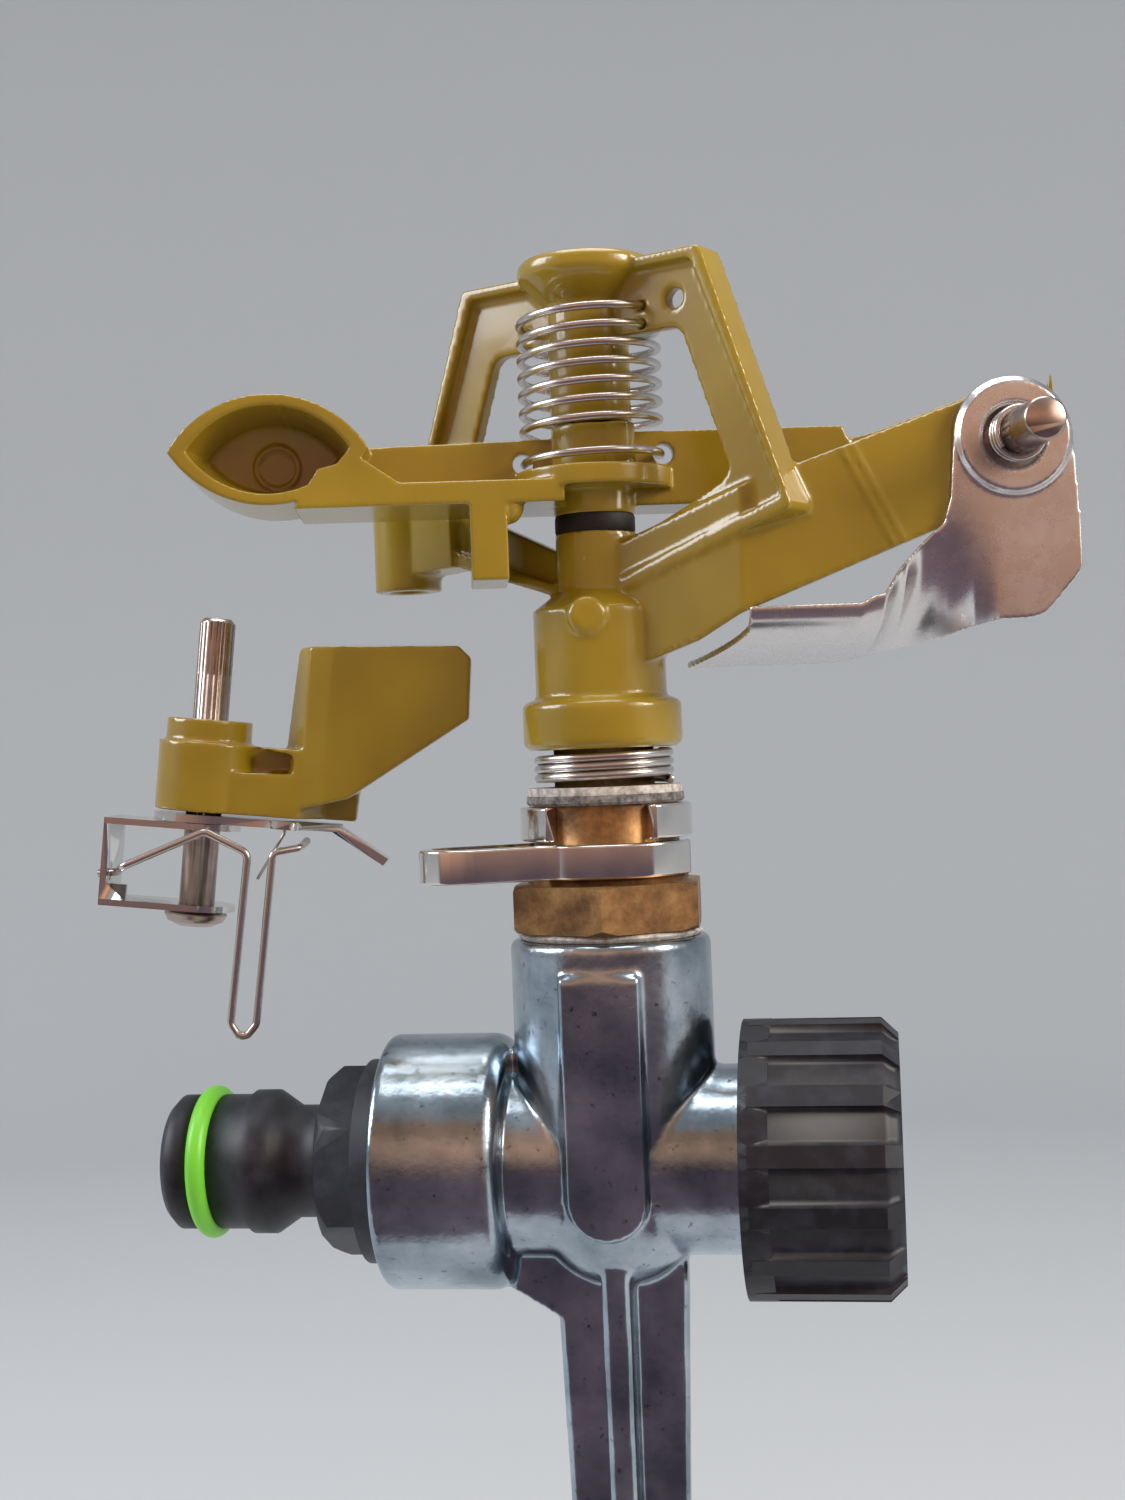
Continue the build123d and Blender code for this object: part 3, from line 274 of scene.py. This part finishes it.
def bright_plating():
    """Bright zinc plating: mirror-like with a blue cast, broken by dull patches, grain and specks."""
    patch_mm = 11.11
    speck_mm = 1.111
    grain_mm = 1.4286
    grain_height = 0.0002
    material, tree, shader = new_material("bright_plating")
    place = add_node(tree, "ShaderNodeTexCoord").outputs["Object"]
    patches = add_node(
        tree,
        "ShaderNodeTexNoise",
        {"Vector": place, "Scale": pattern_scale(patch_mm), "Detail": 5.0, "Roughness": 0.6},
    ).outputs["Fac"]
    tint = add_node(tree, "ShaderNodeValToRGB", {"Fac": patches})
    tint.color_ramp.elements[0].position = 0.35
    tint.color_ramp.elements[0].color = linear("#7D8C96")
    tint.color_ramp.elements[1].position = 0.68
    tint.color_ramp.elements[1].color = linear("#C0CCD6")
    specks = add_node(
        tree,
        "ShaderNodeTexNoise",
        {"Vector": place, "Scale": pattern_scale(speck_mm), "Detail": 3.0, "Roughness": 0.7},
    ).outputs["Fac"]
    mask = add_node(tree, "ShaderNodeMapRange", {"Value": specks, "From Min": 0.62, "From Max": 0.74})
    colour = add_node(
        tree,
        "ShaderNodeMix",
        {"Factor": mask.outputs["Result"], "A": tint.outputs["Color"], "B": linear("#5C6468")},
        data_type="RGBA",
    )
    wear = add_node(tree, "ShaderNodeMapRange", {"Value": patches, "To Min": 0.1, "To Max": 0.34})
    grain = add_node(
        tree,
        "ShaderNodeTexNoise",
        {"Vector": place, "Scale": pattern_scale(grain_mm), "Detail": 4.0},
    ).outputs["Fac"]
    dents = add_node(
        tree, "ShaderNodeBump", {"Height": grain, "Strength": 0.22, "Distance": grain_height}
    )
    tree.links.new(colour.outputs["Result"], shader.inputs["Base Color"])
    tree.links.new(wear.outputs["Result"], shader.inputs["Roughness"])
    tree.links.new(dents.outputs["Normal"], shader.inputs["Normal"])
    shader.inputs["Metallic"].default_value = 1.0
    return material


def merged_copy(node):
    """A bmesh of a CAD node's mesh with its loose triangles joined."""
    shape = bmesh.new()
    shape.from_mesh(frame["nodes"][node].data)
    bmesh.ops.remove_doubles(shape, verts=shape.verts, dist=2e-6)
    bmesh.ops.dissolve_degenerate(shape, edges=shape.edges, dist=1e-6)
    return shape


def dressed(name, material, node):
    """A smooth-shaded copy of a CAD node in its real finish, shown in the node's place."""
    shape = merged_copy(node)
    for face in shape.faces:
        face.smooth = True
    mesh = bpy.data.meshes.new(name)
    shape.to_mesh(mesh)
    shape.free()
    mesh.materials.clear()
    mesh.materials.append(material)
    piece = new_object(name, mesh)
    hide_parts(node)
    return piece


def cast(name, material, node, grain_mm, rounds):
    """A casting: its outer and inner corners run soft, as they leave the die and under paint."""
    piece = dressed(name, material, node)
    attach(piece, body_of_node[node])
    skin = piece.modifiers.new("skin", "REMESH")
    skin.mode = "VOXEL"
    skin.voxel_size = grain_mm / 1000
    soften = piece.modifiers.new("soften", "SMOOTH")
    soften.factor = 0.5
    soften.iterations = rounds
    thin = piece.modifiers.new("thin", "DECIMATE")
    thin.ratio = 0.5
    finished = piece.evaluated_get(bpy.context.evaluated_depsgraph_get())
    mesh = bpy.data.meshes.new_from_object(finished)
    piece.modifiers.clear()
    piece.data = mesh
    mesh.name = name
    mesh.polygons.foreach_set("use_smooth", [True] * len(mesh.polygons))


cast("plated_socket", bright_plating(), "socket_casting", 0.42, 4)


# Hose connector
# A quick-coupling nipple moulded in black plastic and screwed into the inlet on a flat washer, with
# a bright green O-ring in its groove.
def crisp(name, material, node, corner=30):
    """A machined or moulded piece: smooth over its curves and sharp at its corners."""
    piece = dressed(name, material, node)
    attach(piece, body_of_node[node])
    piece.data.set_sharp_from_angle(angle=math.radians(corner))


def black_acetal():
    """Moulded acetal: near black and satin, a little grey and duller where it has been scuffed."""
    scuff_mm = 3.846
    material, tree, shader = new_material("black_acetal")
    place = add_node(tree, "ShaderNodeTexCoord").outputs["Object"]
    scuffs = add_node(
        tree,
        "ShaderNodeTexNoise",
        {"Vector": place, "Scale": pattern_scale(scuff_mm), "Detail": 6.0, "Roughness": 0.65},
    ).outputs["Fac"]
    shade = add_node(tree, "ShaderNodeValToRGB", {"Fac": scuffs})
    shade.color_ramp.elements[0].position = 0.45
    shade.color_ramp.elements[0].color = linear("#14151D")
    shade.color_ramp.elements[1].position = 0.8
    shade.color_ramp.elements[1].color = linear("#31333F")
    haze = add_node(tree, "ShaderNodeMapRange", {"Value": scuffs, "To Min": 0.4, "To Max": 0.6})
    tree.links.new(shade.outputs["Color"], shader.inputs["Base Color"])
    tree.links.new(haze.outputs["Result"], shader.inputs["Roughness"])
    return material


def moulded_rubber(name, colour, roughness):
    """Moulded rubber ring: even colour and a soft sheen."""
    material, _, shader = new_material(name)
    shader.inputs["Base Color"].default_value = linear(colour)
    shader.inputs["Roughness"].default_value = roughness
    return material


acetal = black_acetal()
black_seal = moulded_rubber("black_seal", "#17171A", 0.55)
crisp("nipple", acetal, "hose_connector")
crisp("green_ring", moulded_rubber("green_silicone", "#77D13A", 0.38), "connector_o_ring")
crisp("inlet_washer", black_seal, "connector_washer")


# Outlet cap
# The same black plastic as the nipple, with gripping ribs, screwed over the threaded outlet
# against a flat rubber washer.
crisp("ribbed_cap", acetal, "end_cap", corner=25)
crisp("cap_seal_washer", black_seal, "cap_washer")


# Bearing
# Brass turned from hexagon bar: the nut and the plain barrel have gone brown with water, and a
# ring of thread tape is squeezed out under the nut. The head's own tube turns inside it.
def stained_brass():
    """Turned brass with brown and grey water stains that leave the clean parts glossier."""
    stain_mm = 4.545
    stain_height = 0.0002
    material, tree, shader = new_material("stained_brass")
    place = add_node(tree, "ShaderNodeTexCoord").outputs["Object"]
    stains = add_node(
        tree,
        "ShaderNodeTexNoise",
        {"Vector": place, "Scale": pattern_scale(stain_mm), "Detail": 8.0, "Roughness": 0.68},
    ).outputs["Fac"]
    colour = add_node(tree, "ShaderNodeValToRGB", {"Fac": stains})
    colour.color_ramp.elements[0].position = 0.3
    colour.color_ramp.elements[0].color = linear("#4E3A2B")
    colour.color_ramp.elements[1].position = 0.72
    colour.color_ramp.elements[1].color = linear("#C09A66")
    half_stained = colour.color_ramp.elements.new(0.5)
    half_stained.color = linear("#8E6B45")
    dull = add_node(tree, "ShaderNodeMapRange", {"Value": stains, "To Min": 0.52, "To Max": 0.3})
    pits = add_node(
        tree, "ShaderNodeBump", {"Height": stains, "Strength": 0.3, "Distance": stain_height}
    )
    tree.links.new(colour.outputs["Color"], shader.inputs["Base Color"])
    tree.links.new(dull.outputs["Result"], shader.inputs["Roughness"])
    tree.links.new(pits.outputs["Normal"], shader.inputs["Normal"])
    shader.inputs["Metallic"].default_value = 0.85
    return material


def worn_polymer(name, low, high):
    """Bearing washer or tape: dirty and matt, with grit pressed into it."""
    grit_mm = 1.111
    material, tree, shader = new_material(name)
    place = add_node(tree, "ShaderNodeTexCoord").outputs["Object"]
    grit = add_node(
        tree,
        "ShaderNodeTexNoise",
        {"Vector": place, "Scale": pattern_scale(grit_mm), "Detail": 6.0, "Roughness": 0.7},
    )
    colour = add_node(tree, "ShaderNodeValToRGB", {"Fac": grit.outputs["Fac"]})
    colour.color_ramp.elements[0].position = 0.38
    colour.color_ramp.elements[0].color = linear(low)
    colour.color_ramp.elements[1].position = 0.62
    colour.color_ramp.elements[1].color = linear(high)
    tree.links.new(colour.outputs["Color"], shader.inputs["Base Color"])
    shader.inputs["Roughness"].default_value = 0.7
    return material


brass = stained_brass()
crisp("hexagon_bearing", brass, "bearing_sleeve", corner=20)
crisp("thread_tape", worn_polymer("thread_tape", "#8F8A84", "#D8D3CC"), "thread_sealant")
crisp("turning_tube", brass, "bearing_tube")
crisp("tube_seal", black_seal, "foot_washer")
crisp("grit_ring", worn_polymer("grey_washer", "#3F3C3A", "#8C8884"), "thrust_ring")
crisp("pale_washer", worn_polymer("pale_washer", "#98928A", "#D9D4CC"), "slip_washer")


# Friction collars
# Two rings bent from flat spring strip and polished, which grip the barrel. Their looped ends
# stop the turning head.
def polished_strip():
    """Polished plated strip: nearly a mirror, with faint smears and ripples."""
    smear_mm = 3.125
    ripple_height = 0.0002
    material, tree, shader = new_material("polished_strip")
    place = add_node(tree, "ShaderNodeTexCoord").outputs["Object"]
    smears = add_node(
        tree,
        "ShaderNodeTexNoise",
        {"Vector": place, "Scale": pattern_scale(smear_mm), "Detail": 4.0},
    ).outputs["Fac"]
    gloss = add_node(tree, "ShaderNodeMapRange", {"Value": smears, "To Min": 0.06, "To Max": 0.22})
    ripple = add_node(
        tree, "ShaderNodeBump", {"Height": smears, "Strength": 0.06, "Distance": ripple_height}
    )
    tree.links.new(gloss.outputs["Result"], shader.inputs["Roughness"])
    tree.links.new(ripple.outputs["Normal"], shader.inputs["Normal"])
    shader.inputs["Base Color"].default_value = linear("#E2DEDA")
    shader.inputs["Metallic"].default_value = 1.0
    return material


strip = polished_strip()
crisp("upper_stop_ring", strip, "upper_collar")
crisp("lower_stop_ring", strip, "lower_collar")


# Springs
# Round spring wire, drawn and plated: a short compression spring under the head, the hammer's
# torsion spring round the pivot, and a small coil on the flap's pin.
def drawn_wire():
    """Drawn spring wire: bright, with a fine satin from the die."""
    material, _, shader = new_material("drawn_wire")
    shader.inputs["Base Color"].default_value = linear("#CFC9C4")
    shader.inputs["Metallic"].default_value = 1.0
    shader.inputs["Roughness"].default_value = 0.24
    return material


wire = drawn_wire()
crisp("lift_coils", wire, "lift_spring", corner=60)
crisp("flap_coils", wire, "flap_spring", corner=60)

# The torsion spring is held at its top by the head and hooked into the hammer at its foot.
# Its copy here is attached to neither and stays where it is drawn.
hammer_coils = dressed("hammer_coils", wire, "arm_spring")
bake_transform(hammer_coils)


# Head casting
# Die cast and stoved in glossy olive enamel: the bridge that carries the pivot, the drum over the
# bearing and the nozzle arm. It carries a brass nozzle insert and the hammer's steel pivot.
def olive_enamel():
    """Stoved enamel over metal: deep gloss, slight orange peel and a few pale dust specks."""
    shade_mm = 22.22
    dust_mm = 2.381
    peel_mm = 1.5385
    peel_height = 0.0002
    material, tree, shader = new_material("olive_enamel")
    place = add_node(tree, "ShaderNodeTexCoord").outputs["Object"]
    depth = add_node(
        tree, "ShaderNodeTexNoise", {"Vector": place, "Scale": pattern_scale(shade_mm), "Detail": 3.0}
    )
    colour = add_node(tree, "ShaderNodeValToRGB", {"Fac": depth.outputs["Fac"]})
    colour.color_ramp.elements[0].position = 0.3
    colour.color_ramp.elements[0].color = linear("#8A7016")
    colour.color_ramp.elements[1].position = 0.7
    colour.color_ramp.elements[1].color = linear("#A08720")
    dust = add_node(tree, "ShaderNodeTexVoronoi", {"Vector": place, "Scale": pattern_scale(dust_mm)})
    spot = add_node(
        tree,
        "ShaderNodeMapRange",
        {"Value": dust.outputs["Distance"], "From Min": 0.1, "From Max": 0.06},
    )
    chosen = add_node(
        tree,
        "ShaderNodeMapRange",
        {"Value": dust.outputs["Color"], "From Min": 0.9, "From Max": 0.95},
    )
    mask = add_node(
        tree,
        "ShaderNodeMath",
        {0: spot.outputs["Result"], 1: chosen.outputs["Result"]},
        operation="MULTIPLY",
    )
    dusty = add_node(
        tree,
        "ShaderNodeMix",
        {"Factor": mask.outputs["Value"], "A": colour.outputs["Color"], "B": linear("#D9CFA8")},
        data_type="RGBA",
    )
    peel = add_node(
        tree, "ShaderNodeTexNoise", {"Vector": place, "Scale": pattern_scale(peel_mm), "Detail": 2.0}
    ).outputs["Fac"]
    skin = add_node(tree, "ShaderNodeBump", {"Height": peel, "Strength": 0.05, "Distance": peel_height})
    tree.links.new(dusty.outputs["Result"], shader.inputs["Base Color"])
    tree.links.new(skin.outputs["Normal"], shader.inputs["Normal"])
    shader.inputs["Roughness"].default_value = 0.26
    shader.inputs["Coat Weight"].default_value = 0.6
    shader.inputs["Coat Roughness"].default_value = 0.08
    return material


def turned_steel():
    """Turned steel pin: warm bright metal with faint dark marks."""
    mark_mm = 2.0
    material, tree, shader = new_material("turned_steel")
    place = add_node(tree, "ShaderNodeTexCoord").outputs["Object"]
    marks = add_node(
        tree, "ShaderNodeTexNoise", {"Vector": place, "Scale": pattern_scale(mark_mm), "Detail": 5.0}
    )
    colour = add_node(tree, "ShaderNodeValToRGB", {"Fac": marks.outputs["Fac"]})
    colour.color_ramp.elements[0].color = linear("#8A7468")
    colour.color_ramp.elements[1].color = linear("#CDBFB6")
    tree.links.new(colour.outputs["Color"], shader.inputs["Base Color"])
    shader.inputs["Metallic"].default_value = 1.0
    shader.inputs["Roughness"].default_value = 0.27
    return material


enamel = olive_enamel()
steel = turned_steel()
cast("head_casting", enamel, "sprinkler_body", 0.34, 3)
crisp("nozzle_insert", brass, "nozzle_bush")
crisp("hammer_pivot", steel, "pivot_shaft")
crisp("pivot_ring", black_seal, "pivot_seal")


# Hammer
# The swinging arm, cast and enamelled like the head: a hollow counterweight, an anvil lug, the
# sleeve on the pivot and the drive arm with its curved vane in front of the nozzle.
cast("hammer_casting", enamel, "hammer_arm", 0.2, 5)


# Deflector flap
# Pressed from plated sheet and hung on a knurled steel pin beside the nozzle; it breaks up the jet
# when it is tilted.
def worn_sheet():
    """Plated sheet that has been handled: satin, with soft dents and small dull spots."""
    rub_mm = 3.846
    dent_mm = 14.286
    dent_depth = 0.0006
    material, tree, shader = new_material("worn_sheet")
    place = add_node(tree, "ShaderNodeTexCoord").outputs["Object"]
    rubs = add_node(
        tree,
        "ShaderNodeTexNoise",
        {"Vector": place, "Scale": pattern_scale(rub_mm), "Detail": 6.0, "Roughness": 0.65},
    ).outputs["Fac"]
    gloss = add_node(tree, "ShaderNodeMapRange", {"Value": rubs, "To Min": 0.12, "To Max": 0.42})
    dents = add_node(
        tree, "ShaderNodeTexNoise", {"Vector": place, "Scale": pattern_scale(dent_mm), "Detail": 1.0}
    ).outputs["Fac"]
    bumps = add_node(tree, "ShaderNodeBump", {"Height": dents, "Strength": 0.2, "Distance": dent_depth})
    tree.links.new(gloss.outputs["Result"], shader.inputs["Roughness"])
    tree.links.new(bumps.outputs["Normal"], shader.inputs["Normal"])
    shader.inputs["Base Color"].default_value = linear("#DAD6D4")
    shader.inputs["Metallic"].default_value = 1.0
    return material


cast("pressed_flap", worn_sheet(), "deflector_flap", 0.17, 8)
crisp("knurled_pin", steel, "flap_pin", corner=25)


# Trip unit
# The reversing gear, taken off its boss and standing beside the sprinkler: an enamelled lever on a
# knurled steel pin, with a plate, a folded bracket, the long trip wire and its hair spring.
crisp("unit_pin", steel, "trip_pin", corner=25)
cast("lever_casting", enamel, "trip_lever", 0.26, 3)
crisp("unit_plate", strip, "trip_plate")
crisp("unit_bracket", strip, "trip_bracket")
crisp("unit_wire", wire, "trip_wire", corner=60)
crisp("unit_hair_spring", wire, "toggle_spring", corner=60)


lowest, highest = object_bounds()
